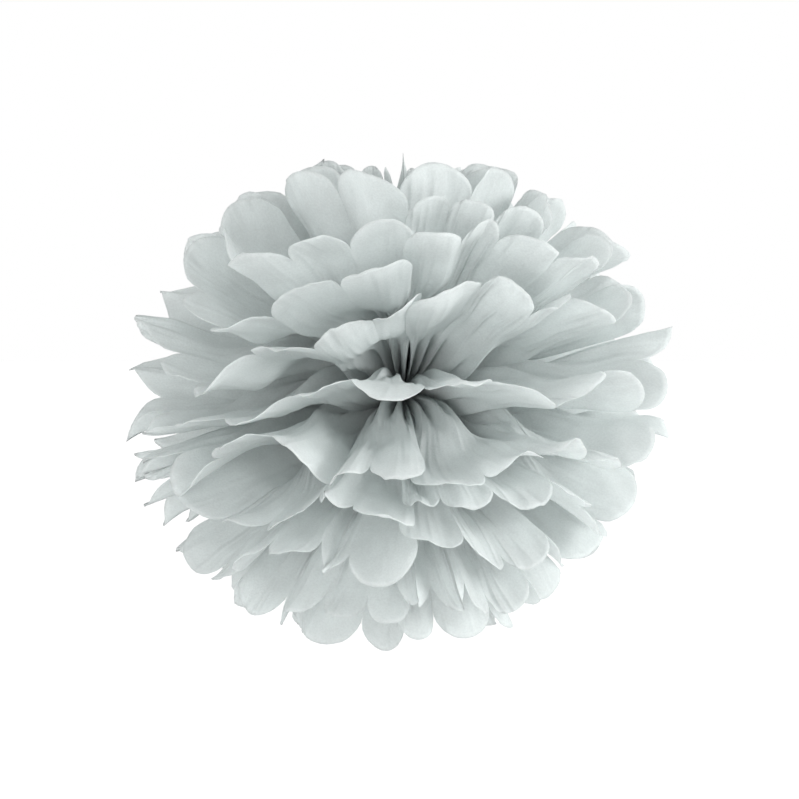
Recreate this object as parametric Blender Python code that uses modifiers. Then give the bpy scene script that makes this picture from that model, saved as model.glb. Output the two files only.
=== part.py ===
"""Tissue paper pom pom: ten pleated tissue sheets, tied round the middle and opened into a ball.

Each sheet is one piece of paper. It is folded into pleats, every pleat end is cut round, and the
wire gathers all the sheets at their middles. Each half of a sheet then opens round the tie like a
fan and is lifted to a slope of its own, so that the pleats stand as petals.

Metres, +Z up. The origin is the middle of the tie. A half's azimuth is counted from the front
seam (-Y), where its fan starts, round the side to the back seam (+Y). Angles are in degrees.
"""

import math
import random
from dataclasses import dataclass

import bmesh
import bpy
from mathutils import Vector

# The flat cut of every sheet.
SHEET_WIDTH = 0.500
SHEET_LENGTH = 0.350
PLEAT_COUNT = 11
PAPER_THICKNESS = 0.0003
PETAL_END_DEPTH = 0.0225

# The gather at the tie.
LAYER_GAP = 0.0003
WIDEST_NECK_RADIUS = 0.0072
NECK_STEP = 0.0008
NECK_SLIT_ANGLE = 22.0
WIRE_DIAMETER = 0.0010
WIRE_GAP = 0.0003
WIRE_TAIL_LENGTH = 0.010
WIRE_TAIL_TURNS = 2.5

# How the gathered pleats open along a petal, as distances from the tie.
LIFTED_FROM = 0.022
PLEATED_TO = 0.055
SPREAD_FROM = 0.125
GATHERED_ZIGZAG = 11.0
GATHERED_FRONT_SEAM = 1.5
GATHERED_BACK_SEAM = 9.0

# How the folds that no list gives are spread, in degrees.
BACK_SEAM_LAP = 3.0
BACK_LAP_RISE = 2.5
ZIGZAG_SHARE = 0.75
LEAST_ZIGZAG = 6.0
AZIMUTH_JITTER = 1.5
SLOPE_JITTER = 1.5
LEAST_GAP = 4.0
MOST_BULGE = 2.6
LEAST_BULGE = 0.8
LEAST_BEND = -2.5
MOST_BEND = 2.5
BENT_FROM = 0.115
MOST_SHORTENING = 0.03
PINCH_BOW = 2.0

# How far petals that point straight up or down reach, as a share of those at the waist, and how
# full the ball is between them. 2 would make it an ellipsoid.
REACH_UP = 0.86
REACH_DOWN = 0.90
FULLNESS = 2.2

PLEAT_WIDTH = SHEET_WIDTH / PLEAT_COUNT
PETAL_LENGTH = SHEET_LENGTH / 2
NOTCH_RADIUS = PETAL_LENGTH - PETAL_END_DEPTH
LAYER_PITCH = PAPER_THICKNESS + LAYER_GAP
PAPER_COLOUR = (0.62, 0.68, 0.67, 1.0)
WIRE_COLOUR = (0.70, 0.71, 0.71, 1.0)

LEFT = -1
RIGHT = 1


@dataclass(frozen=True)
class Sheet:
    """One tissue sheet.

    base_slope is its slope next to the tie, end_slope that of the petal ends, and turn how far it
    is turned about the tie, which takes its front seam to the right. shortened is how much of
    their length the left and right petals lose in crumples. front_left and front_right list the
    folds next to the front seam: (azimuth, elevation) of the fold's end, and how far the petal
    after it bends away from the waist. pinched_left and pinched_right name the pleats whose
    petals end in a point.
    """

    name: str
    base_slope: float
    end_slope: float
    turn: float
    shortened: tuple
    front_left: tuple
    front_right: tuple
    pinched_left: tuple = ()
    pinched_right: tuple = ()


SHEETS = (
    Sheet("tissue_sheet_1", 80, 67, -4, (0.0, 0.0),
          ((-3, 58, 2), (44, 58, 1), (88, 50, 0)),
          ((-2, 67, 4), (46, 65, 0), (82, 57, 0))),
    Sheet("tissue_sheet_2", 60, 51, 2, (0.01, 0.02),
          ((-4, 44, -1), (16, 42, -4), (33, 37, 0), (52, 33, 2), (68, 40, 1)),
          ((1, 52, 0), (20, 54, 0), (36, 51, 0), (53, 44, 1), (67, 50, 0))),
    Sheet("tissue_sheet_3", 42, 36, -3, (0.02, 0.01),
          ((-3, 37, -1), (16, 31, -3), (33, 23, -4), (49, 18, 1), (64, 26, 1)),
          ((0, 42, 0), (19, 43, -1), (32, 44, -2), (46, 35, 1), (60, 31, 0))),
    Sheet("tissue_sheet_4", 25, 21, 4, (0.03, 0.04),
          ((-5, 29, -3), (7, 22, 1), (20, 15, -3), (36, 14, -3), (52, 6, 1), (66, 15, 1),
           (82, 19, 0), (98, 18, 0)),
          ((1, 25, 1), (22, 31, 0), (34, 23, 0), (46, 27, 0), (60, 19, 1)),
          (6,)),
    Sheet("tissue_sheet_5", 8, 7, 5, (0.01, 0.02),
          ((-5, 8, -5), (11, 9, -2), (25, 5, -2), (41, -1, -2), (56, -3, 1),
           (71, 4, 0), (87, 12, 0), (103, 12, 0)),
          ((6, 8, -2), (20, 8, -2), (35, 2, 0), (49, 9, 0), (64, -1, 0),
           (80, 9, 0), (96, 10, 0), (112, 0, 0)),
          (6,), (5,)),
    Sheet("tissue_sheet_6", -9, -9, 6, (0.0, 0.03),
          ((-5, -9, 3), (7, -9, 0), (16, -12, 0), (29, -3, -1), (44, -7, 0), (59, -10, 1),
           (71, -7, 0), (87, -6, 0), (102, -15, 0), (117, -15, 0)),
          ((2, -13, -2), (19, -12, -3), (32, -8, -2), (44, -10, 0), (57, -13, 0),
           (72, -5, 0), (88, -4, 0), (104, -12, 0)),
          (6, 8)),
    Sheet("tissue_sheet_7", -25, -24, -1, (0.0, 0.07),
          ((-3, -22, -5), (11, -18, -2), (19, -16, -2), (33, -24, -2), (44, -23, -2),
           (58, -16, 0), (73, -16, 0), (88, -22, 0), (103, -28, 0), (118, -28, 0)),
          ((0, -15, -3), (9, -14, 3), (22, -17, 0), (38, -16, 1), (54, -24, 0)),
          (6, 8)),
    Sheet("tissue_sheet_8", -42, -38, 4, (0.0, 0.09),
          ((-4, -30, 2), (14, -32, -4), (21, -28, -4), (34, -29, -1), (48, -37, 0),
           (62, -39, 0)),
          ((-1, -25, -2), (17, -30, -1), (31, -36, -1), (46, -32, 0), (60, -40, 0))),
    Sheet("tissue_sheet_9", -60, -53, -2, (0.0, 0.06),
          ((-3, -50, -1), (12, -48, -4), (26, -46, -1), (42, -48, 1), (57, -54, 0)),
          ((-2, -44, -4), (10, -46, -2), (22, -46, -2), (38, -54, 0), (55, -49, 0))),
    Sheet("tissue_sheet_10", -80, -67, 4, (0.0, 0.03),
          ((-3, -73, 0), (26, -67, 1), (70, -63, 0)),
          ((-3, -62, 0), (20, -65, 0), (50, -60, 0), (84, -66, 0))),
)


def smooth(value, low, high):
    """0 up to low, 1 from high, and a smooth rise between them."""
    share = min(max((value - low) / (high - low), 0.0), 1.0)
    return share * share * (3 - 2 * share)


def mix(first, second, share):
    return first + (second - first) * share


def layer_height(index):
    """Height of a sheet's middle in the stack that the wire holds."""
    return ((len(SHEETS) - 1) / 2 - index) * LAYER_PITCH


def neck_radius(index):
    """The outer sheets of the stack turn up or down closest to the tie."""
    layers_out = abs(index - (len(SHEETS) - 1) / 2) - 0.5
    return WIDEST_NECK_RADIUS - layers_out * NECK_STEP


def zigzag_angle(step, slope):
    """How far folds that many degrees apart go up and down, for the paper between them to reach."""
    advance = math.radians(step) * math.cos(math.radians(slope)) * NOTCH_RADIUS
    depth = math.sqrt(max(PLEAT_WIDTH ** 2 - advance ** 2, 0.0))
    return math.degrees(depth / 2 / NOTCH_RADIUS) * ZIGZAG_SHARE


def fold_ends(sheet, side, chance):
    """[azimuth, elevation, bend] of every fold of one half: the listed folds, then the rest.

    At the back seam one half laps over the other.
    """
    ends = [list(end) for end in (sheet.front_left if side == LEFT else sheet.front_right)]
    last, height, _ = ends[-1]
    way = 1 if height < sheet.end_slope else -1
    missing = PLEAT_COUNT + 1 - len(ends)
    widest = math.degrees(PLEAT_WIDTH / NOTCH_RADIUS) * 0.97 / math.cos(math.radians(sheet.end_slope))
    back_seam = 180 + BACK_SEAM_LAP + side * sheet.turn
    step = min((back_seam - last) / missing, widest)
    zigzag = max(zigzag_angle(step, sheet.end_slope), LEAST_ZIGZAG)
    for number in range(1, missing + 1):
        azimuth = last + step * number + chance.uniform(-1, 0.4) * AZIMUTH_JITTER
        elevation = sheet.end_slope + way * zigzag + chance.uniform(-1, 1) * SLOPE_JITTER
        ends.append([azimuth, elevation, chance.uniform(LEAST_BEND, MOST_BEND)])
        way = -way
    ends[-1][0] = last + step * missing
    ends[-1][1] = sheet.end_slope + side * BACK_LAP_RISE
    return ends


def elevation_along(ends, azimuth):
    """Elevation of a fan's end at an azimuth, straight from fold to fold."""
    if azimuth <= ends[0][0]:
        return ends[0][1]
    for (a0, e0, _), (a1, e1, _) in zip(ends, ends[1:]):
        if azimuth <= a1:
            return mix(e0, e1, (azimuth - a0) / (a1 - a0))
    return ends[-1][1]


def lift_clear(ends, below, way):
    """Moves fold ends away from the waist until the sheet before them is LEAST_GAP short of them."""
    for azimuth, elevation, _ in below:
        for first, second in zip(ends, ends[1:]):
            if first[0] <= azimuth <= second[0]:
                lack = LEAST_GAP + way * (elevation - elevation_along(ends, azimuth))
                if lack > 0:
                    first[1] += way * lack
                    second[1] += way * lack
    for end in ends:
        lack = LEAST_GAP + way * (elevation_along(below, end[0]) - end[1])
        if lack > 0:
            end[1] += way * lack


def all_fold_ends():
    """The fold ends of each sheet and side. From the waist up and down, each clears the one before."""
    found = {}
    for side in (LEFT, RIGHT):
        for index, sheet in enumerate(SHEETS):
            found[index, side] = fold_ends(sheet, side, random.Random(100 * index + side))
        waist = len(SHEETS) // 2
        for index in range(waist - 2, -1, -1):
            lift_clear(found[index, side], found[index + 1, side], 1)
        for index in range(waist, len(SHEETS)):
            lift_clear(found[index, side], found[index - 1, side], -1)
    return found


def gathered_fold(sheet, side, fold):
    """(azimuth, elevation) of a fold near the tie, where the pleats of all sheets lie in each other."""
    first = GATHERED_FRONT_SEAM + side * sheet.turn
    last = 180 - GATHERED_BACK_SEAM + side * sheet.turn
    azimuth = mix(first, last, fold / PLEAT_COUNT)
    return azimuth, sheet.base_slope + GATHERED_ZIGZAG * (1 if fold % 2 else -1)


def fold_at(index, side, ends, fold, radius):
    """(azimuth, elevation) of a fold at a distance from the tie."""
    near_azimuth, near_elevation = gathered_fold(SHEETS[index], side, fold)
    far_azimuth, far_elevation, _ = ends[fold]
    opened = smooth(radius, PLEATED_TO, SPREAD_FROM)
    azimuth = mix(near_azimuth, far_azimuth, opened)
    elevation = mix(near_elevation, far_elevation, opened)
    lift = smooth(radius, neck_radius(index), LIFTED_FROM)
    slit = mix(NECK_SLIT_ANGLE, 180 - NECK_SLIT_ANGLE, fold / PLEAT_COUNT)
    azimuth = mix(slit, azimuth, lift)
    return azimuth, max(-87.0, min(87.0, elevation)) * lift


def place(index, side, azimuth, elevation, radius):
    """The point of a sheet in that direction, at that distance from the tie along the paper."""
    across, up = math.radians(azimuth), math.radians(elevation)
    share = REACH_UP if up > 0 else REACH_DOWN
    level = math.cos(up) ** FULLNESS
    upright = abs(math.sin(up) / share) ** FULLNESS
    reach = radius / (level + upright) ** (1 / FULLNESS)
    return Vector((
        side * reach * math.sin(across) * math.cos(up),
        -reach * math.cos(across) * math.cos(up),
        layer_height(index) + reach * math.sin(up),
    ))


def petal_end_radius(across):
    """The round end of a petal. across is 0 at one fold and 1 at the next."""
    return NOTCH_RADIUS + PETAL_END_DEPTH * math.sqrt(max(0.0, 1 - (2 * across - 1) ** 2))


class HalfSheet:
    """The fan that one half of a sheet opens into."""

    def __init__(self, index, side, ends):
        sheet = SHEETS[index]
        self.index = index
        self.side = side
        self.ends = ends
        self.pinched = sheet.pinched_left if side == LEFT else sheet.pinched_right
        chance = random.Random(7000 + 100 * index + side)
        self.bulges = [
            chance.uniform(LEAST_BULGE, MOST_BULGE) * chance.choice((-1, 1))
            for _ in range(PLEAT_COUNT)
        ]
        chance = random.Random(9000 + 100 * index + side)
        least = sheet.shortened[0 if side == LEFT else 1]
        self.shortenings = [
            least + chance.uniform(0, MOST_SHORTENING) for _ in range(PLEAT_COUNT + 1)
        ]

    def point(self, pleat, across, radius):
        """A point of a pleat. across is 0 at its first fold and 1 at its second."""
        a0, e0 = fold_at(self.index, self.side, self.ends, pleat, radius)
        a1, e1 = fold_at(self.index, self.side, self.ends, pleat + 1, radius)
        azimuth = mix(a0, a1, across)
        hump = 4 * across * (1 - across)
        away = math.copysign(1, SHEETS[self.index].end_slope)
        bent = (max(0.0, radius - BENT_FROM) / (PETAL_LENGTH - BENT_FROM)) ** 2
        bulge = self.bulges[pleat]
        if pleat in self.pinched:
            bulge += math.copysign(PINCH_BOW, bulge)
            azimuth = mix(azimuth, (a0 + a1) / 2, bent * math.sqrt(hump))
        bulge = bulge * smooth(radius, PLEATED_TO, SPREAD_FROM) + away * self.ends[pleat][2] * bent
        elevation = mix(e0, e1, across) + hump * bulge
        shortening = mix(self.shortenings[pleat], self.shortenings[pleat + 1], across)
        reach = radius * (1 - shortening * (radius / PETAL_LENGTH) ** 2)
        return place(self.index, self.side, azimuth, elevation, reach)


# The distances from the tie at which a pleat's folds and middle line get a point.
BAND_RADII = (
    LIFTED_FROM,
    mix(PLEATED_TO, SPREAD_FROM, 0.07),
    mix(PLEATED_TO, SPREAD_FROM, 0.7),
    NOTCH_RADIUS,
)
END_SHARES = (0.2, 0.5, 0.8)


def add_face(mesh, side, *corners):
    """A face of the fan. The left fan is a mirror image, so its corners run the other way."""
    mesh.faces.new(corners if side == RIGHT else corners[::-1])


def add_fan(mesh, index, side, ends):
    """Adds one half of a sheet, and returns its points round the neck, from front to back."""
    half = HalfSheet(index, side, ends)
    neck = neck_radius(index)
    ring = [
        mesh.verts.new(place(index, side, *fold_at(index, side, ends, fold, neck), neck))
        for fold in range(PLEAT_COUNT + 1)
    ]
    fold_lines = [
        [mesh.verts.new(half.point(min(fold, PLEAT_COUNT - 1), float(fold == PLEAT_COUNT), radius))
         for radius in BAND_RADII]
        for fold in range(PLEAT_COUNT + 1)
    ]
    for pleat in range(PLEAT_COUNT):
        first, second = fold_lines[pleat], fold_lines[pleat + 1]
        middle = [mesh.verts.new(half.point(pleat, 0.5, radius)) for radius in BAND_RADII]
        add_face(mesh, side, ring[pleat], first[0], middle[0])
        add_face(mesh, side, ring[pleat], middle[0], ring[pleat + 1])
        add_face(mesh, side, ring[pleat + 1], middle[0], second[0])
        for band in range(len(BAND_RADII) - 1):
            add_face(mesh, side, first[band], first[band + 1], middle[band + 1], middle[band])
            add_face(mesh, side, middle[band], middle[band + 1], second[band + 1], second[band])
        low, top, high = (
            mesh.verts.new(half.point(pleat, share, petal_end_radius(share))) for share in END_SHARES
        )
        add_face(mesh, side, first[-1], low, middle[-1])
        add_face(mesh, side, middle[-1], low, top)
        add_face(mesh, side, middle[-1], top, high)
        add_face(mesh, side, middle[-1], high, second[-1])
    return ring


def add_sheet(index, ends, collection, material):
    """One sheet: both fans and the gathered strip between them, given the paper's thickness."""
    sheet = SHEETS[index]
    mesh = bmesh.new()
    left = add_fan(mesh, index, LEFT, ends[index, LEFT])
    right = add_fan(mesh, index, RIGHT, ends[index, RIGHT])
    for pleat in range(PLEAT_COUNT):
        mesh.faces.new((left[pleat], right[pleat], right[pleat + 1], left[pleat + 1]))
    data = bpy.data.meshes.new(sheet.name)
    mesh.to_mesh(data)
    mesh.free()
    data.materials.append(material)
    obj = bpy.data.objects.new(sheet.name, data)
    collection.objects.link(obj)
    wall = obj.modifiers.new("paper thickness", "SOLIDIFY")
    wall.thickness = PAPER_THICKNESS
    wall.offset = 0.0
    return obj


def wire_path():
    """The tie's centre line: up one strand of the twist, round the stack, and back along the twist."""
    radius = WIRE_DIAMETER / 2
    half_height = (len(SHEETS) - 1) / 2 * LAYER_PITCH + PAPER_THICKNESS / 2 + WIRE_GAP + radius
    half_width = WIDEST_NECK_RADIUS * math.cos(math.radians(NECK_SLIT_ANGLE)) + WIRE_GAP + radius
    strand_offset = radius + WIRE_GAP / 2
    corner = min(half_height, half_width) * 0.6
    loop = []
    corners = ((1, 1, 0), (-1, 1, 90), (-1, -1, 180), (1, -1, 270))
    for y_sign, z_sign, start in corners:
        for step in range(5):
            angle = math.radians(start + 90 * step / 4)
            loop.append(Vector((
                0.0,
                y_sign * (half_width - corner) + corner * math.cos(angle),
                z_sign * (half_height - corner) + corner * math.sin(angle),
            )))
    points_per_turn = 6
    count = round(WIRE_TAIL_TURNS * points_per_turn)
    tail = []
    for step in range(count + 1):
        angle = 2 * math.pi * step / points_per_turn
        forward = half_width + 2.2 * radius + WIRE_TAIL_LENGTH * step / count
        tail.append((strand_offset * math.sin(angle), forward, strand_offset * math.cos(angle)))
    upper = [Vector(p) for p in tail]
    lower = [Vector((-x, y, -z)) for x, y, z in tail]
    return upper[::-1] + loop + lower


def add_wire(collection, material):
    """The wire that gathers the sheets, with its ends twisted together behind the stack."""
    path = wire_path()
    curve = bpy.data.curves.new("tie_wire", "CURVE")
    curve.dimensions = "3D"
    curve.bevel_depth = WIRE_DIAMETER / 2
    curve.bevel_resolution = 1
    curve.use_fill_caps = True
    spline = curve.splines.new("POLY")
    spline.points.add(len(path) - 1)
    for point, where in zip(spline.points, path):
        point.co = (*where, 1.0)
    curve.materials.append(material)
    obj = bpy.data.objects.new("tie_wire", curve)
    collection.objects.link(obj)
    return obj


def make_material(name, colour, roughness, metallic):
    material = bpy.data.materials.new(name)
    material.use_nodes = True
    shader = material.node_tree.nodes["Principled BSDF"]
    shader.inputs["Base Color"].default_value = colour
    shader.inputs["Roughness"].default_value = roughness
    shader.inputs["Metallic"].default_value = metallic
    return material


def main():
    for obj in list(bpy.data.objects):
        bpy.data.objects.remove(obj)
    collection = bpy.data.collections.new("tissue_pom_pom")
    bpy.context.scene.collection.children.link(collection)
    paper = make_material("silver_grey_tissue", PAPER_COLOUR, 0.9, 0.0)
    steel = make_material("tie_steel", WIRE_COLOUR, 0.4, 1.0)
    ends = all_fold_ends()
    for index in range(len(SHEETS)):
        add_sheet(index, ends, collection, paper)
    add_wire(collection, steel)


main()
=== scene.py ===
"""Tissue paper pom pom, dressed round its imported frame.

Ten tissue sheets are pleated together, cut round at the pleat ends, gathered by a wire round
their middles and opened into a ball. Every sheet starts here as its flat cut. A Geometry Nodes
tree gathers it at the tie and opens it, so that each pleat stands as a petal.

Metres, +Z up, with the origin in the middle of the tie. A half's azimuth is counted from the
front seam (-Y) round the side to the back seam (+Y). Angles are in degrees.
"""

from __future__ import annotations

import logging
import math
import random
from dataclasses import dataclass
from enum import Enum

import bpy
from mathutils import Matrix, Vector


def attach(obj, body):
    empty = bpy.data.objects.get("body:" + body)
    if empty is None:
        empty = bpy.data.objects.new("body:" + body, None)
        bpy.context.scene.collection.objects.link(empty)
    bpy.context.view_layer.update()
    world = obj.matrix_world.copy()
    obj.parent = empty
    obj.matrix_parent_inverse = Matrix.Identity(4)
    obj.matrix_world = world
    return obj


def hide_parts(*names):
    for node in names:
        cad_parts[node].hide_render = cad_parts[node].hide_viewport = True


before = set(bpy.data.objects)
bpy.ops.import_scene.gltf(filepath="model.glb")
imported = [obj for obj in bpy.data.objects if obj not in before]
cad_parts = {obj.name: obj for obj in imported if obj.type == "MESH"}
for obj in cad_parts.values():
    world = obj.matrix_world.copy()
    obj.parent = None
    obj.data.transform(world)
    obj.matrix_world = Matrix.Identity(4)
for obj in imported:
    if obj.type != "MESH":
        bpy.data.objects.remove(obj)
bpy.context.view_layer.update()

LOG = logging.getLogger("pom_pom")
FLAT_UV = "flat_cut"
FLAT_ATTRIBUTES = ("gathered", "opened", "shaping", "rim")
FOLD_SEED, BULGE_SEED, PETAL_SEED = 0, 7000, 9000
SHEET_SEED_STEP = 100
# Where the two creases of a petal may lie, from one fold (0) to the next (1).
CREASE_PLACES = ((0.22, 0.45), (0.55, 0.8))


class Side(Enum):
    """The half of a sheet that opens to that side, seen from the front."""

    LEFT = -1
    RIGHT = 1


def smooth(value: float, low: float, high: float) -> float:
    """0 up to low, 1 from high, and a smooth rise between them."""
    share = min(max((value - low) / (high - low), 0.0), 1.0)
    return share * share * (3 - 2 * share)


def mix(first: float, second: float, share: float) -> float:
    """The value that lies a share of the way from first to second."""
    return first + (second - first) * share


def hump(across: float) -> float:
    """0 at both folds of a petal, where across is 0 and 1, and 1 halfway between them."""
    return 4 * across * (1 - across)


def chance_for(seed: int, index: int, side: Side) -> random.Random:
    """Where one kind of irregularity of one half of a sheet comes from."""
    return random.Random(seed + SHEET_SEED_STEP * index + side.value)


def add_object(name: str, data: bpy.types.ID) -> bpy.types.Object:
    """Adds an object to the scene.

    Args:
        name: its name.
        data: its mesh, light or camera.

    Returns:
        The new object.
    """
    obj = bpy.data.objects.new(name, data)
    bpy.context.scene.collection.objects.link(obj)
    return obj


def set_inputs(node: bpy.types.Node, inputs: dict[str | int, object]) -> None:
    """Links or sets inputs of a node.

    Args:
        node: the node.
        inputs: for each input, by name or number, the output it is linked to or its value.
    """
    for key, value in inputs.items():
        source = value.socket if isinstance(value, FieldSocket) else value
        if isinstance(source, bpy.types.NodeSocket):
            node.id_data.links.new(source, node.inputs[key])
        else:
            node.inputs[key].default_value = source


def add_node(
    tree: bpy.types.NodeTree, kind: str, inputs: dict[str | int, object]
) -> bpy.types.Node:
    """Adds a node to a tree.

    Args:
        tree: the tree.
        kind: the node's type.
        inputs: for each input, by name or number, the output it is linked to or its value.

    Returns:
        The new node.
    """
    node = tree.nodes.new(kind)
    set_inputs(node, inputs)
    return node


@dataclass(frozen=True)
class PaperCut:
    """The flat cut of every sheet, with the round ends that the pleats are given."""

    width: float = 0.500
    length: float = 0.350
    pleats: int = 11
    end_depth: float = 0.0225
    thickness: float = 0.0002

    @property
    def pleat_width(self) -> float:
        """Width of one pleat."""
        return self.width / self.pleats

    @property
    def petal_length(self) -> float:
        """Distance from the tie to the furthest point of a petal, along the paper."""
        return self.length / 2

    @property
    def notch_radius(self) -> float:
        """Distance from the tie to the notch between two petals, along the paper."""
        return self.petal_length - self.end_depth

    @property
    def area(self) -> float:
        """Flat area of the cut sheet: the rectangle less what the round ends take off."""
        lost = self.pleat_width * self.end_depth * (1 - math.pi / 4)
        return self.width * self.length - 2 * self.pleats * lost

    def end_radius(self, across: float) -> float:
        """How far a petal reaches from the tie.

        Args:
            across: 0 at the petal's first fold and 1 at its second.

        Returns:
            Distance along the paper, in metres.
        """
        return self.notch_radius + self.end_depth * math.sqrt(max(0.0, 1 - (2 * across - 1) ** 2))


@dataclass(frozen=True)
class Gather:
    """How the wire holds the stack. Lengths are in metres and angles in degrees.

    zigzag is how far the gathered folds go up and down, and seam_edge the share of it that is
    left at a half's first fold.
    """

    layers: int = 10
    layer_pitch: float = 0.0006
    widest_neck: float = 0.0072
    neck_step: float = 0.0008
    slit_angle: float = 22.0
    zigzag: float = 11.0
    seam_edge: float = 0.4
    front_seam: float = 1.5
    back_seam: float = 9.0
    least_crush: float = 8.5
    crush_growth: float = 1.1

    def layers_up(self, index: int) -> float:
        """How many layers a sheet lies above (or, below 0, under) the middle of the stack."""
        return (self.layers - 1) / 2 - index

    def layers_out(self, index: int) -> float:
        """How many sheets lie between a sheet and the middle of the stack."""
        return abs(self.layers_up(index)) - 0.5

    def layer_height(self, index: int) -> float:
        """Height of a sheet's middle in the stack."""
        return self.layers_up(index) * self.layer_pitch

    def crush_angle(self, index: int) -> float:
        """How far the fine creases by the tie go up and down. The outer sheets are crushed most."""
        return self.least_crush + self.layers_out(index) ** 2 * self.crush_growth

    def neck_radius(self, index: int) -> float:
        """Where a sheet leaves the stack. The outer ones turn up or down closest to the tie."""
        return self.widest_neck - self.layers_out(index) * self.neck_step


@dataclass(frozen=True)
class Spread:
    """How the folds that no list gives are spread, and how petals vary. Angles are in degrees.

    widest_step is the share of a pleat's width that two folds may stand apart, jitter_onward
    the share of azimuth_jitter that a fold may go towards the back, and fold_softness 0 for a
    knife-edged fold and 1 for a wave.
    """

    back_lap: float = 3.0
    lap_rise: float = 2.5
    zigzag_share: float = 0.75
    least_zigzag: float = 6.0
    widest_step: float = 0.97
    petal_shortening: float = 0.03
    pinch_power: float = 0.5
    pinch_bow: float = 2.0
    azimuth_jitter: float = 1.5
    jitter_onward: float = 0.4
    slope_jitter: float = 1.5
    least_gap: float = 4.0
    least_bulge: float = 0.8
    most_bulge: float = 2.6
    bend: float = 2.5
    fold_softness: float = 0.05
    facet_jitter: float = 0.3


@dataclass(frozen=True)
class PetalProfile:
    """How a petal bulges between its folds: flat facets that meet in creases.

    creases holds (across, share of the whole bulge), across being 0 at one fold, 1 at the next.
    """

    creases: tuple[tuple[float, float], ...]

    @classmethod
    def random(cls, chance: random.Random, jitter: float) -> PetalProfile:
        """A profile with two creases.

        Args:
            chance: where its irregularity comes from.
            jitter: how far the creases may lie off an even curve, as a share.

        Returns:
            The profile.
        """
        places = [chance.uniform(*span) for span in CREASE_PLACES]
        inner = tuple((u, hump(u) * chance.uniform(1 - jitter, 1 + jitter)) for u in places)
        return cls(((0.0, 0.0), *inner, (1.0, 0.0)))

    def height(self, across: float) -> float:
        """The share of the whole bulge that is reached there."""
        for (u0, h0), (u1, h1) in zip(self.creases, self.creases[1:]):
            if across <= u1:
                return mix(h0, h1, (across - u0) / (u1 - u0))
        return 0.0


@dataclass
class Fold:
    """The outer end of one fold, and how far the petal after it bends away from the waist."""

    azimuth: float
    elevation: float
    bend: float


@dataclass(frozen=True)
class SheetPlan:
    """One sheet: its slope at the tie and at the petal ends, its turn, and its front folds.

    Each fold is (azimuth, elevation, bend) of its outer end. shortened is how much of their
    length the left and right petals lose in crumples. pinched names the pleats that end in a
    point, and how far the point leans away from the waist.
    """

    name: str
    base_slope: float
    end_slope: float
    turn: float
    shortened: tuple[float, float]
    front_left: tuple[tuple[float, float, float], ...]
    front_right: tuple[tuple[float, float, float], ...]
    pinched_left: tuple[tuple[int, float], ...] = ()
    pinched_right: tuple[tuple[int, float], ...] = ()

    def front(self, side: Side) -> tuple[tuple[float, float, float], ...]:
        """The listed folds of one half."""
        return self.front_left if side is Side.LEFT else self.front_right

    def pinched(self, side: Side) -> dict[int, float]:
        """The pinched pleats of one half, with the lean of each."""
        return dict(self.pinched_left if side is Side.LEFT else self.pinched_right)


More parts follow.
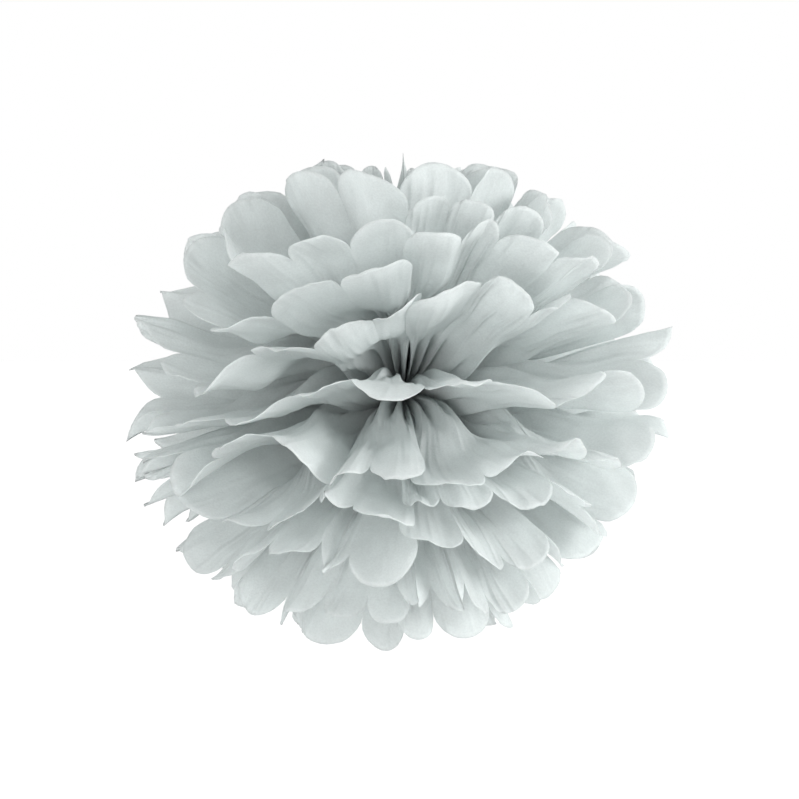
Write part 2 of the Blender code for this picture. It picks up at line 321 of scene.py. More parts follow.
SHEET_PLANS = (
    SheetPlan("1", 80, 67, -4, (0.0, 0.0),
              ((-3, 58, 2), (44, 58, 1), (88, 50, 0)),
              ((-2, 67, 4), (46, 65, 0), (82, 57, 0)),
              ((3, 6.0), (10, 14.0))),
    SheetPlan("2", 60, 51, 2, (0.01, 0.02),
              ((-4, 44, -1), (16, 42, -4), (33, 37, 0), (52, 33, 2), (68, 40, 1)),
              ((1, 52, 0), (20, 54, 0), (36, 51, 0), (53, 44, 1), (67, 50, 0))),
    SheetPlan("3", 42, 36, -3, (0.02, 0.01),
              ((-3, 37, -1), (16, 31, -3), (33, 23, -4), (49, 18, 1), (64, 26, 1)),
              ((0, 42, 0), (19, 43, -1), (32, 44, -2), (46, 35, 1), (60, 31, 0))),
    SheetPlan("4", 25, 21, 4, (0.03, 0.04),
              ((-5, 29, -3), (7, 22, 1), (20, 15, -3), (36, 14, -3), (52, 6, 1), (66, 12, 1),
               (82, 12, 0), (98, 14, 0)),
              ((1, 25, 1), (22, 31, 0), (34, 23, 0), (46, 27, 0), (60, 19, 1)),
              ((5, 0.0), (6, -1.0), (7, -3.0), (8, 0.0))),
    SheetPlan("5", 8, 7, 5, (0.01, 0.02),
              ((-5, 8, -5), (11, 9, -2), (25, 5, -2), (41, -1, -2), (56, -3, 1),
               (71, -2, 0), (87, 0, 0), (103, 7.5, 0)),
              ((6, 8, -2), (20, 8, -2), (35, 2, 0), (49, 9, 0), (64, -1, 0),
               (80, 9, 0), (96, 10, 0), (112, 0, 0)),
              ((4, 0.0), (5, -4.0), (6, -2.0), (7, 2.0), (8, 0.0)), ((5, 0.0),)),
    SheetPlan("6", -9, -9, 6, (0.0, 0.03),
              ((-5, -9, 3), (7, -9, 0), (16, -12, 0), (29, -3, -1), (44, -9, 5), (59, -10, 1),
               (71, -10, 0), (87, -12, 0), (102, -16, 0), (117, -15, 0)),
              ((2, -13, -2), (19, -12, -3), (32, -8, -2), (44, -10, 0), (57, -13, 0),
               (72, -5, 0), (88, -4, 0), (104, -12, 0)),
              ((5, 2.0), (6, 2.0), (7, 1.0), (8, 1.0), (9, 0.0))),
    SheetPlan("7", -25, -24, -1, (0.0, 0.07),
              ((-3, -22, -5), (11, -18, -2), (19, -16, -2), (33, -24, -2), (44, -23, -2),
               (58, -14, 0), (73, -16, 0), (88, -22, 0), (103, -28, 0), (118, -28, 0)),
              ((0, -15, -3), (9, -14, 3), (22, -17, 0), (38, -16, 1), (54, -24, 0)),
              ((1, 0.0), (5, 1.0), (6, 0.0), (7, 0.0), (8, 0.0), (9, 0.0))),
    SheetPlan("8", -42, -38, 4, (0.0, 0.09),
              ((-4, -30, 2), (14, -32, -4), (21, -28, -4), (34, -29, -1), (48, -37, 0),
               (62, -39, 0)),
              ((-1, -25, -2), (17, -30, -1), (31, -36, -1), (46, -32, 0), (60, -40, 0)),
              ((1, 0.0), (6, 0.0), (7, 0.0), (8, 0.0))),
    SheetPlan("9", -60, -53, -2, (0.0, 0.06),
              ((-3, -50, -1), (12, -48, -4), (26, -46, -1), (42, -48, 1), (57, -54, 0)),
              ((-2, -44, -4), (10, -46, -2), (22, -46, -2), (38, -54, 0), (55, -49, 0)),
              (), ((0, 0.0), (1, 0.0))),
    SheetPlan("10", -80, -67, 4, (0.0, 0.03),
              ((-3, -73, 0), (26, -67, 1), (70, -63, 0)),
              ((-3, -62, 0), (20, -65, 0), (50, -60, 0), (84, -66, 0))),
)


class FoldPlan:
    """Where the outer end of every fold of every half sheet goes."""

    def __init__(self, cut: PaperCut, gather: Gather, spread: Spread) -> None:
        """Works out the folds of every half.

        Args:
            cut: the flat cut of the sheets.
            gather: the gather at the tie.
            spread: how the folds that no list gives are spread.
        """
        self.cut = cut
        self.gather = gather
        self.spread = spread
        self.ends: dict[tuple[int, Side], list[Fold]] = {}
        waist = len(SHEET_PLANS) // 2
        for side in Side:
            for index, plan in enumerate(SHEET_PLANS):
                chance = chance_for(FOLD_SEED, index, side)
                self.ends[index, side] = self.half_ends(plan, side, chance)
            for index in range(waist - 2, -1, -1):
                self.lift_clear(self.ends[index, side], self.ends[index + 1, side], 1)
            for index in range(waist, len(SHEET_PLANS)):
                self.lift_clear(self.ends[index, side], self.ends[index - 1, side], -1)

    def zigzag_angle(self, step: float, slope: float) -> float:
        """How far folds go up and down for the paper between them to reach.

        Args:
            step: degrees of azimuth from fold to fold.
            slope: the fan's slope there.

        Returns:
            Degrees above and below the fan's slope.
        """
        advance = math.radians(step) * math.cos(math.radians(slope)) * self.cut.notch_radius
        depth = math.sqrt(max(self.cut.pleat_width ** 2 - advance ** 2, 0.0))
        return math.degrees(depth / 2 / self.cut.notch_radius) * self.spread.zigzag_share

    def half_ends(self, plan: SheetPlan, side: Side, chance: random.Random) -> list[Fold]:
        """The listed folds of a half sheet, then the rest as far as the back seam.

        Args:
            plan: the sheet.
            side: the half.
            chance: where the irregularities of the unlisted folds come from.

        Returns:
            One Fold for each of the half's folds, from front to back.
        """
        spread = self.spread
        ends = [Fold(*listed) for listed in plan.front(side)]
        last = ends[-1].azimuth
        way = 1 if ends[-1].elevation < plan.end_slope else -1
        missing = self.cut.pleats + 1 - len(ends)
        widest = math.degrees(self.cut.pleat_width / self.cut.notch_radius) * spread.widest_step
        widest /= math.cos(math.radians(plan.end_slope))
        back_seam = 180 + spread.back_lap + side.value * plan.turn
        step = min((back_seam - last) / missing, widest)
        zigzag = max(self.zigzag_angle(step, plan.end_slope), spread.least_zigzag)
        for number in range(1, missing + 1):
            sway = chance.uniform(-1, spread.jitter_onward)
            azimuth = last + step * number + sway * spread.azimuth_jitter
            elevation = plan.end_slope + way * zigzag + chance.uniform(-1, 1) * spread.slope_jitter
            ends.append(Fold(azimuth, elevation, chance.uniform(-spread.bend, spread.bend)))
            way = -way
        ends[-1].azimuth = last + step * missing
        ends[-1].elevation = plan.end_slope + side.value * spread.lap_rise
        return ends

    @staticmethod
    def elevation_along(ends: list[Fold], azimuth: float) -> float:
        """Elevation of a fan's end at an azimuth, straight from fold to fold.

        Args:
            ends: the fan's folds.
            azimuth: the azimuth.

        Returns:
            The elevation there.
        """
        if azimuth <= ends[0].azimuth:
            return ends[0].elevation
        for first, second in zip(ends, ends[1:]):
            if azimuth <= second.azimuth:
                share = (azimuth - first.azimuth) / (second.azimuth - first.azimuth)
                return mix(first.elevation, second.elevation, share)
        return ends[-1].elevation

    def lift_clear(self, ends: list[Fold], below: list[Fold], way: int) -> None:
        """Moves fold ends away from the waist until they clear the sheet before them.

        Args:
            ends: the folds to move.
            below: the folds of the same half of the sheet next to it on the waist's side.
            way: 1 for a sheet above the waist and -1 for one below it.
        """
        for other in below:
            for first, second in zip(ends, ends[1:]):
                if first.azimuth <= other.azimuth <= second.azimuth:
                    there = self.elevation_along(ends, other.azimuth)
                    lack = self.spread.least_gap + way * (other.elevation - there)
                    if lack > 0:
                        first.elevation += way * lack
                        second.elevation += way * lack
        for end in ends:
            there = self.elevation_along(below, end.azimuth)
            lack = self.spread.least_gap + way * (there - end.elevation)
            if lack > 0:
                end.elevation += way * lack

    def gathered(self, index: int, side: Side, fold: int) -> tuple[float, float, float]:
        """Where a fold lies close to the tie, where the pleats of all sheets lie in each other.

        Args:
            index: the sheet, from the top.
            side: the half.
            fold: the fold, from the front.

        Returns:
            Its azimuth, its elevation, and its azimuth where it leaves the wire.
        """
        gather, plan = self.gather, SHEET_PLANS[index]
        share = fold / self.cut.pleats
        first = gather.front_seam + side.value * plan.turn
        last = 180 - gather.back_seam + side.value * plan.turn
        slit = mix(gather.slit_angle, 180 - gather.slit_angle, share)
        way = gather.seam_edge if fold == 0 else 1 if fold % 2 else -1
        height = plan.base_slope + gather.zigzag * way
        return mix(first, last, share), height, slit


@dataclass(frozen=True)
class FieldSocket:
    """One number of a node tree for every point. Sums of it add Math nodes to the tree."""

    tree: bpy.types.NodeTree
    socket: bpy.types.NodeSocket

    def maths(self, operation: str, *values: FieldSocket | float) -> FieldSocket:
        """Adds a Math node.

        Args:
            operation: the node's operation.
            values: its inputs, in order.

        Returns:
            The node's result.
        """
        node = add_node(self.tree, "ShaderNodeMath", dict(enumerate(values)))
        node.operation = operation
        return FieldSocket(self.tree, node.outputs[0])

    def __add__(self, other: FieldSocket | float) -> FieldSocket:
        """The sum of two numbers."""
        return self.maths("ADD", self, other)

    def __sub__(self, other: FieldSocket | float) -> FieldSocket:
        """The difference of two numbers."""
        return self.maths("SUBTRACT", self, other)

    def __rsub__(self, other: float) -> FieldSocket:
        """A plain number less this one."""
        return self.maths("SUBTRACT", other, self)

    def __mul__(self, other: FieldSocket | float) -> FieldSocket:
        """The product of two numbers."""
        return self.maths("MULTIPLY", self, other)

    def __truediv__(self, other: FieldSocket | float) -> FieldSocket:
        """The quotient of two numbers."""
        return self.maths("DIVIDE", self, other)

    def __pow__(self, other: FieldSocket | float) -> FieldSocket:
        """This number to a power."""
        return self.maths("POWER", self, other)

    def __abs__(self) -> FieldSocket:
        """This number without its sign."""
        return self.maths("ABSOLUTE", self)

    def sine(self) -> FieldSocket:
        """Sine of this angle, given in degrees."""
        return self.maths("SINE", self.maths("RADIANS", self))

    def cosine(self) -> FieldSocket:
        """Cosine of this angle, given in degrees."""
        return self.maths("COSINE", self.maths("RADIANS", self))

    def mix(self, other: FieldSocket, share: FieldSocket | float) -> FieldSocket:
        """The number a share of the way from this one to another."""
        return self + (other - self) * share

    def rise(self, low: FieldSocket | float, high: FieldSocket | float) -> FieldSocket:
        """A smooth rise of this number.

        Args:
            low: the result is 0 up to here.
            high: the result is 1 from here.

        Returns:
            A number from 0 to 1.
        """
        inputs = {"Value": self, "From Min": low, "From Max": high}
        node = add_node(self.tree, "ShaderNodeMapRange", inputs)
        node.interpolation_type = "SMOOTHSTEP"
        return FieldSocket(self.tree, node.outputs["Result"])


@dataclass(frozen=True)
class Opening:
    """Sizes of the opened fans, and of the creases and crumples that handling leaves.

    A name here is, with its first letter made a capital, the name of the tree's input. A
    stretch is below 1 where a pattern is longer towards the petals' ends than across them.
    """

    lifted_from: float = 0.022
    pleated_to: float = 0.055
    spread_from: float = 0.125
    bent_from: float = 0.115
    petal_length: float = 0.175
    reach_up: float = 0.86
    reach_down: float = 0.90
    fullness: float = 2.2
    crush_step: float = 8.0
    crush_to: float = 0.100
    crumple_angle: float = 1.1
    crumples_per_metre: float = 22.0
    crumple_stretch: float = 0.6
    crumple_wave: float = 0.5
    facet_fineness: float = 1.6
    crease_depth: float = 0.0026
    creases_per_metre: float = 75.0
    crease_stretch: float = 0.12
    crease_middle: float = 0.3
    crease_fade_radius: float = 0.004
    rim_ripple: float = 0.0016
    rim_ripples_per_metre: float = 70.0
    ripple_stretch: float = 0.5
    ripple_least_radius: float = 0.02
    rim_width: float = 0.028
    steepest: float = 87.0


class FanTree:
    """The Geometry Nodes tree that gathers a flat sheet at the tie and opens it into fans.

    It reads four attributes of the flat sheet: gathered (azimuth, elevation and the azimuth at
    the wire), opened (azimuth, elevation, azimuth of the petal's middle), shaping (bow, bend and
    pinch of the petal, in degrees) and rim (how far the petal's end is pinched, the distance to
    the rim, and how much of its length the petal loses in crumples).
    """

    MIDDLE = 0.5
    NOISE_SPAN = 3.0
    FACET_SPAN = 2.0
    CRUMPLE_DETAIL = 2.0
    CREASE_SEED = 7.0
    RIPPLE_SEED = 13.0
    CIRCLE = 360.0
    RADIAN = 57.3
    def __init__(self, opening: Opening) -> None:
        """Builds the tree.

        Args:
            opening: its sizes, which become named inputs.
        """
        self.tree = bpy.data.node_groups.new("open tissue fan", "GeometryNodeTree")
        face = self.tree.interface
        face.new_socket("Flat sheet", in_out="INPUT", socket_type="NodeSocketGeometry")
        names = {name: name.replace("_", " ").capitalize() for name in vars(opening)}
        for name, label in names.items():
            socket = face.new_socket(label, in_out="INPUT", socket_type="NodeSocketFloat")
            socket.default_value = getattr(opening, name)
        for label in ("Neck radius", "Layer height", "Crush angle", "Seed"):
            face.new_socket(label, in_out="INPUT", socket_type="NodeSocketFloat")
        face.new_socket("Paper", in_out="INPUT", socket_type="NodeSocketMaterial")
        face.new_socket("Opened sheet", in_out="OUTPUT", socket_type="NodeSocketGeometry")
        self.entry = self.tree.nodes.new("NodeGroupInput")
        self.exit = self.tree.nodes.new("NodeGroupOutput")
        self.build()

    def size(self, label: str) -> FieldSocket:
        """One of the tree's named inputs."""
        return FieldSocket(self.tree, self.entry.outputs[label])

    def attribute(self, name: str) -> tuple[FieldSocket, FieldSocket, FieldSocket]:
        """An attribute of the flat sheet.

        Args:
            name: its name.

        Returns:
            The three numbers of its vector.
        """
        node = add_node(self.tree, "GeometryNodeInputNamedAttribute", {"Name": name})
        node.data_type = "FLOAT_VECTOR"
        return self.split(next(s for s in node.outputs if s.enabled and s.name == "Attribute"))

    def split(self, socket: bpy.types.NodeSocket) -> tuple[FieldSocket, FieldSocket, FieldSocket]:
        """The three numbers of a vector."""
        node = add_node(self.tree, "ShaderNodeSeparateXYZ", {0: socket})
        return tuple(FieldSocket(self.tree, output) for output in node.outputs)

    def join(self, *parts: FieldSocket) -> bpy.types.NodeSocket:
        """A vector of three numbers."""
        return add_node(self.tree, "ShaderNodeCombineXYZ", dict(enumerate(parts))).outputs[0]

    def noise(self, *place: FieldSocket, detail: float = 1.0) -> FieldSocket:
        """Smooth noise from about -1 to 1.

        Args:
            place: the three numbers that it is read at.
            detail: octaves of finer noise in it.

        Returns:
            The noise there.
        """
        inputs = {"Scale": 1.0, "Detail": detail, "Vector": self.join(*place)}
        node = add_node(self.tree, "ShaderNodeTexNoise", inputs)
        return (FieldSocket(self.tree, node.outputs[0]) - self.MIDDLE) * self.NOISE_SPAN

    def facets(self, *place: FieldSocket) -> FieldSocket:
        """Blunt cones that meet in sharp creases, from about -1 to 1.

        Args:
            place: the three numbers that they are read at.

        Returns:
            Their height there.
        """
        inputs = {"Scale": 1.0, "Vector": self.join(*place)}
        node = add_node(self.tree, "ShaderNodeTexVoronoi", inputs)
        distance = FieldSocket(self.tree, node.outputs["Distance"])
        return (distance - self.MIDDLE) * self.FACET_SPAN

    def wear(
        self, along: FieldSocket, reach: FieldSocket, opened: FieldSocket, rim_distance: FieldSocket
    ) -> tuple[FieldSocket, FieldSocket, FieldSocket]:
        """The crumples, the fine creases and the ripples of the rim.

        Args:
            along: the point's place on the flat cut, across the pleats.
            reach: its place towards the petals' ends, below 0 in the left half.
            opened: 0 where the pleats are gathered and 1 where they are open.
            rim_distance: its distance to the rim.

        Returns:
            The degrees that each adds to the point's elevation.
        """
        size, radius, seed = self.size, abs(reach), self.size("Seed")
        crumples = size("Crumples per metre")
        stretched = reach * crumples * size("Crumple stretch")
        crumple = self.noise(along * crumples, stretched, seed, detail=self.CRUMPLE_DETAIL)
        crumple = crumple * size("Crumple wave")
        fine = along * crumples * size("Facet fineness")
        crumple = crumple + self.facets(fine, reach * crumples, seed)
        crumple = crumple * size("Crumple angle") * opened

        creases = size("Creases per metre")
        stretched = reach * creases * size("Crease stretch")
        crease = abs(self.noise(along * creases, stretched, seed + self.CREASE_SEED))
        crease = (crease - size("Crease middle")) * size("Crease depth")
        crease = crease / (radius + size("Crease fade radius")) * self.RADIAN * opened

        ripples = size("Rim ripples per metre")
        stretched = reach * ripples * size("Ripple stretch")
        ripple = self.noise(along * ripples, stretched, seed + self.RIPPLE_SEED)
        near_rim = 1.0 - rim_distance.rise(0.0, size("Rim width"))
        radius = radius.maths("MAXIMUM", radius, size("Ripple least radius"))
        ripple = ripple * size("Rim ripple") / radius * self.RADIAN * near_rim
        return crumple, crease, ripple

    def opened_place(
        self, reach: FieldSocket, shortened: FieldSocket, azimuth: FieldSocket,
        elevation: FieldSocket,
    ) -> bpy.types.NodeSocket:
        """Where a point lies in the opened sheet.

        Args:
            reach: its place on the flat cut, below 0 in the left half.
            shortened: how much of its length the petal loses in crumples.
            azimuth: its azimuth in its half.
            elevation: its elevation.

        Returns:
            The place, as a vector.
        """
        size, radius = self.size, abs(reach)
        rises = elevation.maths("GREATER_THAN", elevation, 0.0)
        share = size("Reach down").mix(size("Reach up"), rises)
        fullness = size("Fullness")
        level = elevation.cosine() ** fullness
        upright = abs(elevation.sine() / share) ** fullness
        reached = radius / size("Petal length")
        length = radius * (1.0 - shortened * reached * reached)
        length = length / (level + upright) ** fullness.maths("DIVIDE", 1.0, fullness)
        flat_length = length * elevation.cosine()
        return self.join(
            reach.maths("SIGN", reach) * flat_length * azimuth.sine(),
            (0.0 - flat_length) * azimuth.cosine(),
            size("Layer height") + length * elevation.sine(),
        )

    def build(self) -> None:
        """Adds the nodes, from the flat sheet's place to the opened one's."""
        size = self.size
        position = self.tree.nodes.new("GeometryNodeInputPosition")
        along, reach, _ = self.split(position.outputs[0])
        radius = abs(reach)
        near_azimuth, near_elevation, slit = self.attribute("gathered")
        far_azimuth, far_elevation, middle = self.attribute("opened")
        bow, bend, pinch = self.attribute("shaping")
        narrowed, rim_distance, shortened = self.attribute("rim")

        opened = radius.rise(size("Pleated to"), size("Spread from"))
        lift = radius.rise(size("Neck radius"), size("Lifted from"))
        narrowing = (radius - size("Bent from")) / (size("Petal length") - size("Bent from"))
        narrowing = narrowing.maths("MAXIMUM", narrowing, 0.0)

        azimuth = near_azimuth.mix(far_azimuth, opened)
        azimuth = azimuth.mix(middle, narrowed * narrowing)
        azimuth = slit.mix(azimuth, lift)
        crush = (azimuth * self.CIRCLE / size("Crush step")).sine() * size("Crush angle")
        crush = crush * (1.0 - radius.rise(size("Lifted from"), size("Crush to")))

        elevation = near_elevation.mix(far_elevation, opened) + bow * opened
        elevation = elevation + bend * (narrowing * narrowing) + pinch * narrowing + crush
        for degrees in self.wear(along, reach, opened, rim_distance):
            elevation = elevation + degrees
        steepest = size("Steepest")
        elevation = elevation.maths("MINIMUM", elevation, steepest)
        elevation = elevation.maths("MAXIMUM", elevation, 0.0 - steepest) * lift

        place = self.opened_place(reach, shortened, azimuth, elevation)
        moved = add_node(self.tree, "GeometryNodeSetPosition", {
            "Geometry": self.entry.outputs["Flat sheet"], "Position": place})
        rounded = add_node(self.tree, "GeometryNodeSetShadeSmooth", {"Geometry": moved.outputs[0]})
        real = add_node(self.tree, "GeometryNodeRealizeInstances", {"Geometry": rounded.outputs[0]})
        painted = add_node(self.tree, "GeometryNodeSetMaterial", {
            "Geometry": real.outputs[0], "Material": self.entry.outputs["Paper"]})
        set_inputs(self.exit, {"Opened sheet": painted.outputs[0]})

    def add_to(self, obj: bpy.types.Object, **values: float | bpy.types.Material) -> None:
        """Puts the tree on an object and sets its inputs.

        Args:
            obj: the flat sheet.
            values: the inputs that aren't at their defaults, with _ for a space.
        """
        modifier = obj.modifiers.new("open fan", "NODES")
        modifier.node_group = self.tree
        given = {name.replace("_", " ").capitalize(): value for name, value in values.items()}
        for item in self.tree.interface.items_tree:
            if item.in_out == "INPUT" and item.name in given:
                modifier[item.identifier] = given[item.name]


@dataclass(frozen=True)
class TissueFinish:
    """Dyed tissue paper: matt, thin enough for light to come through, with fibres and creases.

    Scales are per metre: fibres and clouds in space, creases across and along the flat cut.
    mottle is how much darker and lighter the colour gets in places.
    """

    colour: tuple[float, float, float] = (0.812, 0.845, 0.841)
    shine_through: tuple[float, float, float] = (0.882, 0.908, 0.904)
    through_share: float = 0.5
    roughness: float = 0.82
    specular: float = 0.25
    mottle: float = 0.06
    mottle_span: tuple[float, float] = (0.35, 0.65)
    fibre_scale: float = 800.0
    fibre_detail: float = 4.0
    cloud_scale: float = 38.0
    cloud_detail: float = 3.0
    crease_scale: tuple[float, float, float] = (130.0, 14.0, 1.0)
    crease_detail: float = 2.0
    crease_relief: float = 0.0030
    fibre_relief: float = 0.00025
    relief_strength: float = 0.8

    def mottled(
        self, tree: bpy.types.NodeTree, colour: tuple[float, float, float],
        pattern: FieldSocket,
    ) -> bpy.types.NodeSocket:
        """A colour that is a little darker or lighter from place to place.

        Args:
            tree: the material's tree.
            colour: the colour between the two.
            pattern: what it varies with, from 0 to 1.

        Returns:
            The varied colour.
        """
        ramp = add_node(tree, "ShaderNodeValToRGB", {0: pattern})
        shades = (1 - self.mottle, 1 + self.mottle)
        for end, position, shade in zip(ramp.color_ramp.elements, self.mottle_span, shades):
            end.position = position
            end.color = (*(part * shade for part in colour), 1)
        return ramp.outputs[0]

    def creases(self, tree: bpy.types.NodeTree) -> FieldSocket:
        """Fine ridges along the petals.

        Args:
            tree: the material's tree.

        Returns:
            Their height, from 0 to 1.
        """
        flat = tree.nodes.new("ShaderNodeUVMap")
        flat.uv_map = FLAT_UV
        stretched = add_node(tree, "ShaderNodeMapping", {
            "Vector": flat.outputs[0], "Scale": self.crease_scale})
        ridges = add_node(tree, "ShaderNodeTexNoise", {
            "Vector": stretched.outputs[0], "Scale": 1.0, "Detail": self.crease_detail})
        ridges.noise_type = "RIDGED_MULTIFRACTAL"
        ridges.normalize = True
        return FieldSocket(tree, ridges.outputs[0])

    def material(self) -> bpy.types.Material:
        """The finish.

        Returns:
            A new material.
        """
        material = bpy.data.materials.new("silver grey tissue")
        material.use_nodes = True
        tree = material.node_tree
        place = tree.nodes.new("ShaderNodeTexCoord").outputs["Object"]
        scales = ((self.fibre_scale, self.fibre_detail), (self.cloud_scale, self.cloud_detail))
        fibres, clouds = (
            FieldSocket(tree, add_node(tree, "ShaderNodeTexNoise", {
                "Vector": place, "Scale": scale, "Detail": detail}).outputs[0])
            for scale, detail in scales
        )
        pattern = fibres.maths("MULTIPLY_ADD", fibres, 0.5, clouds * 0.5)
        fibre_share = self.fibre_relief / self.crease_relief
        height = fibres.maths("MULTIPLY_ADD", fibres, fibre_share, self.creases(tree))
        relief = add_node(tree, "ShaderNodeBump", {
            "Strength": self.relief_strength, "Distance": self.crease_relief, "Height": height,
        }).outputs[0]
        principled = tree.nodes["Principled BSDF"]
        set_inputs(principled, {
            "Base Color": self.mottled(tree, self.colour, pattern),
            "Roughness": self.roughness,
            "Specular IOR Level": self.specular,
            "Normal": relief,
        })
        through = add_node(tree, "ShaderNodeBsdfTranslucent", {
            "Color": self.mottled(tree, self.shine_through, pattern), "Normal": relief})
        paper = add_node(tree, "ShaderNodeMixShader", {
            0: self.through_share, 1: principled.outputs[0], 2: through.outputs[0]})
        set_inputs(tree.nodes["Material Output"], {"Surface": paper.outputs[0]})
        return material


@dataclass(frozen=True)
class SteelFinish:
    """Drawn steel wire, duller in places."""

    colour: tuple[float, float, float, float] = (0.70, 0.71, 0.71, 1.0)
    least_roughness: float = 0.26
    most_roughness: float = 0.46
    grain_scale: float = 1800.0
    grain_detail: float = 3.0

    def material(self) -> bpy.types.Material:
        """The finish.

        Returns:
            A new material.
        """
        material = bpy.data.materials.new("tie steel")
        material.use_nodes = True
        tree = material.node_tree
        grain = add_node(tree, "ShaderNodeTexNoise", {
            "Vector": tree.nodes.new("ShaderNodeTexCoord").outputs["Object"],
            "Scale": self.grain_scale,
            "Detail": self.grain_detail,
        })
        dull = add_node(tree, "ShaderNodeMapRange", {
            "Value": grain.outputs[0],
            "To Min": self.least_roughness,
            "To Max": self.most_roughness,
        })
        set_inputs(tree.nodes["Principled BSDF"], {
            "Metallic": 1.0,
            "Base Color": self.colour,
            "Roughness": dull.outputs["Result"],
        })
        return material


@dataclass
class TissueSheet:
    """One tissue sheet, from its flat cut to its two opened fans.

    columns and rows count the mesh's steps across a pleat and along a petal. A row_crowding
    below 1 sets the rows closer together towards the rim.
    """

    index: int
    cut: PaperCut
    gather: Gather
    folds: FoldPlan
    columns: int = 16
    rows: int = 38
    row_crowding: float = 0.9
    seed_step: float = 3.7

    @property
    def name(self) -> str:
        """Name of the piece."""
        return f"opened_sheet_{SHEET_PLANS[self.index].name}"

    @property
    def node(self) -> str:
        """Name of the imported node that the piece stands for."""
        return f"tissue_sheet_{SHEET_PLANS[self.index].name}"

    def across(self) -> list[float]:
        """Places of the points across a pleat, closest at its folds."""
        return [(1 - math.cos(math.pi * step / self.columns)) / 2 for step in range(self.columns)]

    def half_points(self, side: Side) -> list[dict[str, tuple[float, float, float]]]:
        """The flat points of one half, column by column from front to back.

        Args:
            side: the half.

        Returns:
            Each point's place on the flat cut and its attributes.
        """
        spread, cut = self.folds.spread, self.cut
        chance = chance_for(BULGE_SEED, self.index, side)
        bulges = [
            chance.uniform(spread.least_bulge, spread.most_bulge) * chance.choice((-1, 1))
            for _ in range(cut.pleats)
        ]
        chance = chance_for(PETAL_SEED, self.index, side)
        lengths = [chance.uniform(0, spread.petal_shortening) for _ in range(cut.pleats + 1)]
        profiles = [PetalProfile.random(chance, spread.facet_jitter) for _ in range(cut.pleats)]
        plan = SHEET_PLANS[self.index]
        away = math.copysign(1, plan.end_slope)
        pinched = plan.pinched(side)
        ends = self.folds.ends[self.index, side]
        gathered = [
            self.folds.gathered(self.index, side, fold) for fold in range(cut.pleats + 1)]
        neck = self.gather.neck_radius(self.index)
        shares = [(pleat, u) for pleat in range(cut.pleats) for u in self.across()]
        shares.append((cut.pleats - 1, 1.0))
        points = []
        for pleat, u in shares:
            first, second = ends[pleat], ends[pleat + 1]
            near = tuple(mix(a, b, u) for a, b in zip(gathered[pleat], gathered[pleat + 1]))
            soft = mix(u, smooth(u, 0, 1), spread.fold_softness)
            height = mix(first.elevation, second.elevation, soft)
            far = (mix(first.azimuth, second.azimuth, u), height,
                   (first.azimuth + second.azimuth) / 2)
            lean = pinched.get(pleat, 0.0)
            pinch = hump(u) ** spread.pinch_power if pleat in pinched else 0.0
            bow = bulges[pleat] + math.copysign(spread.pinch_bow, bulges[pleat]) * (pinch > 0)
            middle = (first.elevation + second.elevation) / 2
            shaping = (profiles[pleat].height(u) * bow, hump(u) * away * (first.bend + lean),
                       pinch * (middle - height))
            shortening = plan.shortened[side is Side.RIGHT]
            shortening += mix(lengths[pleat], lengths[pleat + 1], u)
            shortening *= 1 - pinch
            top = cut.end_radius(u)
            along = (pleat + u) * cut.pleat_width - cut.width / 2
            for row in range(self.rows + 1):
                radius = mix(neck, top, (row / self.rows) ** self.row_crowding)
                points.append({
                    "place": (along, side.value * radius, 0.0),
                    "gathered": near,
                    "opened": far,
                    "shaping": shaping,
                    "rim": (pinch, top - radius, shortening),
                })
        return points

    def flat_mesh(self) -> bpy.types.Mesh:
        """The flat cut as a mesh, with the attributes that the tree reads.

        Returns:
            A new mesh.
        """
        halves = {side: self.half_points(side) for side in Side}
        points = halves[Side.LEFT] + halves[Side.RIGHT]
        count = len(halves[Side.LEFT])
        stride = self.rows + 1
        faces = []
        for start in range(0, count - stride, stride):
            for row in range(self.rows):
                corners = (start + row, start + row + 1, start + stride + row + 1,
                           start + stride + row)
                faces.append(corners[::-1])
                faces.append(tuple(count + corner for corner in corners))
            faces.append((start, count + start, count + start + stride, start + stride))
        mesh = bpy.data.meshes.new(self.name)
        mesh.from_pydata([point["place"] for point in points], [], faces)
        for name in FLAT_ATTRIBUTES:
            layer = mesh.attributes.new(name, "FLOAT_VECTOR", "POINT")
            layer.data.foreach_set("vector", [x for point in points for x in point[name]])
        flat = mesh.uv_layers.new(name=FLAT_UV)
        for loop in mesh.loops:
            flat.data[loop.index].uv = points[loop.vertex_index]["place"][:2]
        return mesh

    def build(self, tree: FanTree, paper: bpy.types.Material) -> bpy.types.Object:
        """Args:
            tree: the tree that opens it.
            paper: its material.

        Returns:
            The finished piece.
        """
        obj = add_object(self.name, self.flat_mesh())
        tree.add_to(
            obj,
            neck_radius=self.gather.neck_radius(self.index),
            layer_height=self.gather.layer_height(self.index),
            crush_angle=self.gather.crush_angle(self.index),
            seed=self.index * self.seed_step,
            paper=paper,
        )
        wall = obj.modifiers.new("paper thickness", "SOLIDIFY")
        wall.thickness = self.cut.thickness
        wall.offset = 0.0
        depsgraph = bpy.context.evaluated_depsgraph_get()
        opened = bpy.data.meshes.new_from_object(
            obj.evaluated_get(depsgraph), preserve_all_data_layers=True, depsgraph=depsgraph)
        obj.modifiers.clear()
        obj.data = opened
        opened.name = self.name
        for name in FLAT_ATTRIBUTES:
            opened.attributes.remove(opened.attributes[name])
        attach(obj, "root")
        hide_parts(self.node)
        return obj


@dataclass
class TieWire:
    """The wire round the gathered middles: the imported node, given its finish."""

    node: str = "tie_wire"

    def dress(self, steel: bpy.types.Material) -> None:
        """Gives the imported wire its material."""
        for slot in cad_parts[self.node].material_slots:
            slot.material = steel
        LOG.info("%s: given its finish", self.node)


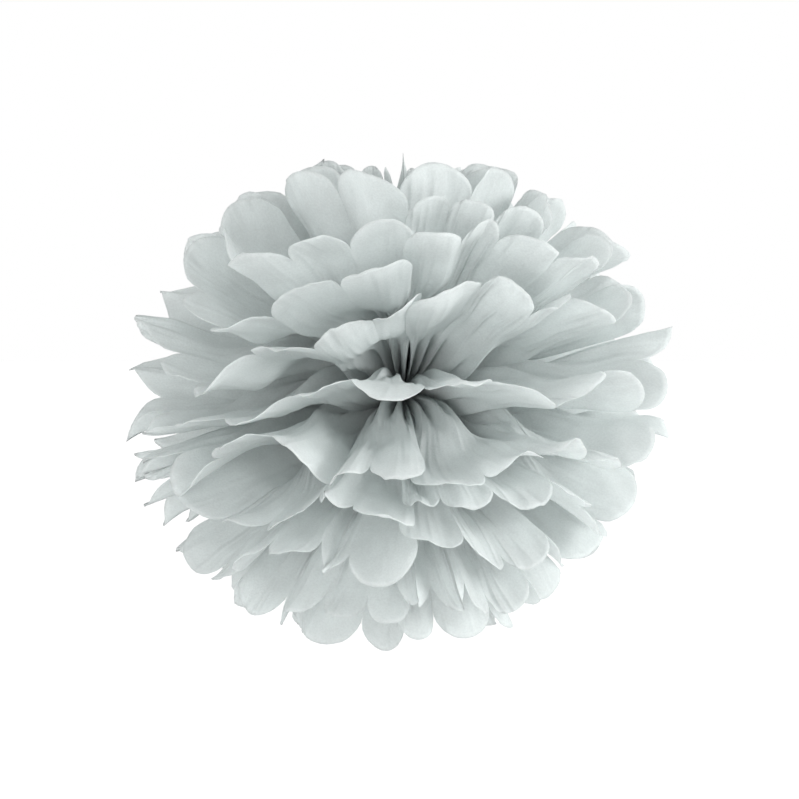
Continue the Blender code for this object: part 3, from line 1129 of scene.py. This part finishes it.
@dataclass(frozen=True)
class Lamp:
    """A square soft lamp that faces the tie."""

    name: str
    watts: float
    place: tuple[float, float, float]
    size: float

    def add(self) -> None:
        """Adds the lamp to the scene."""
        lamp = bpy.data.lights.new(self.name, "AREA")
        lamp.energy = self.watts
        lamp.size = self.size
        obj = add_object(self.name, lamp)
        obj.location = self.place
        obj.rotation_euler = (-obj.location).to_track_quat("-Z", "Y").to_euler()


@dataclass(frozen=True)
class Studio:
    """A plain pale floor, soft light from the right and the front, and the photograph's camera."""

    distance: float = 1.6
    look_down: float = 6.0
    pixels_per_metre: float = 1587.0
    image_width: float = 799.0
    shift_pixels: tuple[float, float] = (-2.5, -3.5)
    floor_height: float = -0.62
    floor_size: float = 14.0
    floor_shade: float = 0.86
    floor_roughness: float = 0.9
    floor_glow: float = 0.35
    sky: float = 0.87
    lamps: tuple[Lamp, ...] = (
        Lamp("key", 13.5, (1.4, -0.3, 0.25), 0.45),
        Lamp("fill", 8.5, (-0.55, -1.65, -0.05), 0.7),
    )

    def white_for_camera(self, tree: bpy.types.NodeTree, plain: float) -> bpy.types.NodeSocket:
        """A strength that is 1 for what the camera sees, straight or in a reflection.

        Args:
            tree: the node tree that it is added to.
            plain: the strength for all other rays.

        Returns:
            The strength's socket.
        """
        path = tree.nodes.new("ShaderNodeLightPath")
        seen = FieldSocket(tree, path.outputs["Is Camera Ray"])
        for name in ("Is Glossy Ray", "Is Transmission Ray"):
            seen = seen.maths("MAXIMUM", seen, FieldSocket(tree, path.outputs[name]))
        strength = add_node(tree, "ShaderNodeMapRange", {
            "Value": seen, "To Min": plain, "To Max": 1.0})
        return strength.outputs["Result"]

    def add_world(self) -> None:
        """An even white sky."""
        world = bpy.data.worlds.new("studio")
        world.use_nodes = True
        bpy.context.scene.world = world
        set_inputs(world.node_tree.nodes["Background"], {
            "Color": (1.0, 1.0, 1.0, 1.0),
            "Strength": self.white_for_camera(world.node_tree, self.sky),
        })

    def add_floor(self) -> None:
        """A pale floor, well below the hanging ball."""
        half = self.floor_size / 2
        mesh = bpy.data.meshes.new("floor")
        corners = ((-half, -half), (half, -half), (half, half), (-half, half))
        mesh.from_pydata([(x, y, self.floor_height) for x, y in corners], [], [(0, 1, 2, 3)])
        material = bpy.data.materials.new("pale floor")
        material.use_nodes = True
        tree = material.node_tree
        path = tree.nodes.new("ShaderNodeLightPath")
        seen = FieldSocket(tree, path.outputs["Is Camera Ray"])
        set_inputs(tree.nodes["Principled BSDF"], {
            "Base Color": (self.floor_shade, self.floor_shade, self.floor_shade, 1.0),
            "Roughness": self.floor_roughness,
            "Emission Color": (1.0, 1.0, 1.0, 1.0),
            "Emission Strength": seen * self.floor_glow,
        })
        mesh.materials.append(material)
        floor = add_object("floor", mesh)

    def add_camera(self) -> None:
        """The camera of the photograph."""
        data = bpy.data.cameras.new("camera")
        data.lens = data.sensor_width * self.distance * self.pixels_per_metre / self.image_width
        data.shift_x, data.shift_y = (pixels / self.image_width for pixels in self.shift_pixels)
        camera = add_object("camera", data)
        down = math.radians(self.look_down)
        camera.location = Vector((0.0, -math.cos(down), math.sin(down))) * self.distance
        camera.rotation_euler = (math.pi / 2 - down, 0.0, 0.0)
        bpy.context.scene.camera = camera

    def build(self) -> None:
        """Adds the whole studio."""
        bpy.context.scene.view_settings.view_transform = "Standard"
        self.add_world()
        self.add_floor()
        for lamp in self.lamps:
            lamp.add()
        self.add_camera()


def main() -> None:
    """Builds the pom pom and its studio."""
    logging.basicConfig(level=logging.INFO, format="%(message)s")
    Studio().build()
    cut, gather = PaperCut(), Gather()
    plan = FoldPlan(cut, gather, Spread())
    tree = FanTree(Opening())
    paper = TissueFinish().material()
    for index in range(len(SHEET_PLANS)):
        obj = TissueSheet(index, cut, gather, plan).build(tree, paper)
        LOG.info("%s: %d faces", obj.name, len(obj.data.polygons))
    TieWire().dress(SteelFinish().material())


if __name__ == "__main__":
    main()
